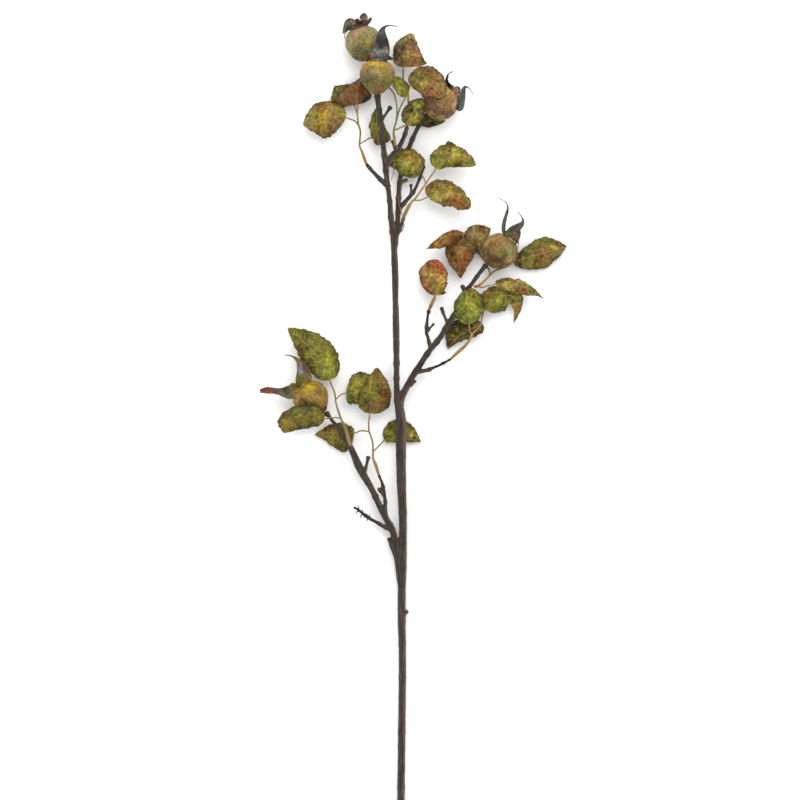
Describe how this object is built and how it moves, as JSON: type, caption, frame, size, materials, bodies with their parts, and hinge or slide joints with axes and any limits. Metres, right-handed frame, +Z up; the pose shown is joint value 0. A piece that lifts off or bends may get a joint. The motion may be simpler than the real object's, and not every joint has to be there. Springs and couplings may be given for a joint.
{
  "type": "rose hip sprig",
  "caption": "Cut woody rose sprig lying flat, with round hips, curled dry sepals and toothed, curled autumn leaflets on forked stalks.",
  "frame": {"origin": "on the surface the sprig lies on, under the flat spot of the lower stem", "axes": "+Y runs along the stem from the cut end to the growing tip, +Z is up off the surface, +X is to the right looking down with the tip away"},
  "size_m": [0.2611, 0.681, 0.0395],
  "materials": {
    "woody_stem": "rough dry bark",
    "hip_a": "satin, dry fruit skin",
    "calyx_a": "dry and matte",
    "hip_b": "satin, dry fruit skin",
    "calyx_b": "dry and matte",
    "hip_c": "satin, dry fruit skin",
    "calyx_c": "dry and matte",
    "hip_d": "satin, dry fruit skin",
    "calyx_d": "dry and matte",
    "hip_e": "satin, dry fruit skin",
    "calyx_e": "dry and matte",
    "leaf_stalk_top_left": "smooth dry stalk",
    "leaf_stalk_top_middle": "smooth dry stalk",
    "leaf_stalk_top_cluster": "smooth dry stalk",
    "leaf_stalk_top_right": "smooth dry stalk",
    "leaf_stalk_right_lower": "smooth dry stalk",
    "leaf_stalk_right_inner": "smooth dry stalk",
    "leaf_stalk_right_end": "smooth dry stalk",
    "leaf_stalk_left_end": "smooth dry stalk",
    "leaf_stalk_left_inner": "smooth dry stalk",
    "leaflet_top_left_1": "dry leaf, matte",
    "leaflet_top_left_2": "dry leaf, matte",
    "leaflet_top_left_3": "dry leaf, matte",
    "leaflet_top_left_4": "dry leaf, matte",
    "leaflet_top_middle_1": "dry leaf, matte",
    "leaflet_top_middle_2": "dry leaf, matte",
    "leaflet_top_cluster_1": "dry leaf, matte",
    "leaflet_top_cluster_2": "dry leaf, matte",
    "leaflet_top_cluster_3": "dry leaf, matte",
    "leaflet_top_right_1": "dry leaf, matte",
    "leaflet_top_right_2": "dry leaf, matte",
    "leaflet_top_right_3": "dry leaf, matte",
    "leaflet_right_lower_1": "dry leaf, matte",
    "leaflet_right_lower_2": "dry leaf, matte",
    "leaflet_right_lower_3": "dry leaf, matte",
    "leaflet_right_inner_1": "dry leaf, matte",
    "leaflet_right_end_1": "dry leaf, matte",
    "leaflet_right_end_2": "dry leaf, matte",
    "leaflet_right_end_3": "dry leaf, matte",
    "leaflet_right_end_4": "dry leaf, matte",
    "leaflet_right_end_5": "dry leaf, matte",
    "leaflet_left_end_1": "dry leaf, matte",
    "leaflet_left_end_2": "dry leaf, matte",
    "leaflet_left_end_3": "dry leaf, matte",
    "leaflet_left_inner_1": "dry leaf, matte",
    "leaflet_left_inner_2": "dry leaf, matte",
    "leaflet_left_inner_3": "dry leaf, matte"
  },
  "bodies": {
    "root": {"woody_stem": "woody_stem", "hip_a": "hip_a", "calyx_a": "calyx_a", "hip_b": "hip_b", "calyx_b": "calyx_b", "hip_c": "hip_c", "calyx_c": "calyx_c", "hip_d": "hip_d", "calyx_d": "calyx_d", "hip_e": "hip_e", "calyx_e": "calyx_e", "leaf_stalk_top_left": "leaf_stalk_top_left", "leaf_stalk_top_middle": "leaf_stalk_top_middle", "leaf_stalk_top_cluster": "leaf_stalk_top_cluster", "leaf_stalk_top_right": "leaf_stalk_top_right", "leaf_stalk_right_lower": "leaf_stalk_right_lower", "leaf_stalk_right_inner": "leaf_stalk_right_inner", "leaf_stalk_right_end": "leaf_stalk_right_end", "leaf_stalk_left_end": "leaf_stalk_left_end", "leaf_stalk_left_inner": "leaf_stalk_left_inner", "leaflet_top_left_1": "leaflet_top_left_1", "leaflet_top_left_2": "leaflet_top_left_2", "leaflet_top_left_3": "leaflet_top_left_3", "leaflet_top_left_4": "leaflet_top_left_4", "leaflet_top_middle_1": "leaflet_top_middle_1", "leaflet_top_middle_2": "leaflet_top_middle_2", "leaflet_top_cluster_1": "leaflet_top_cluster_1", "leaflet_top_cluster_2": "leaflet_top_cluster_2", "leaflet_top_cluster_3": "leaflet_top_cluster_3", "leaflet_top_right_1": "leaflet_top_right_1", "leaflet_top_right_2": "leaflet_top_right_2", "leaflet_top_right_3": "leaflet_top_right_3", "leaflet_right_lower_1": "leaflet_right_lower_1", "leaflet_right_lower_2": "leaflet_right_lower_2", "leaflet_right_lower_3": "leaflet_right_lower_3", "leaflet_right_inner_1": "leaflet_right_inner_1", "leaflet_right_end_1": "leaflet_right_end_1", "leaflet_right_end_2": "leaflet_right_end_2", "leaflet_right_end_3": "leaflet_right_end_3", "leaflet_right_end_4": "leaflet_right_end_4", "leaflet_right_end_5": "leaflet_right_end_5", "leaflet_left_end_1": "leaflet_left_end_1", "leaflet_left_end_2": "leaflet_left_end_2", "leaflet_left_end_3": "leaflet_left_end_3", "leaflet_left_inner_1": "leaflet_left_inner_1", "leaflet_left_inner_2": "leaflet_left_inner_2", "leaflet_left_inner_3": "leaflet_left_inner_3"}
  },
  "joints": []
}
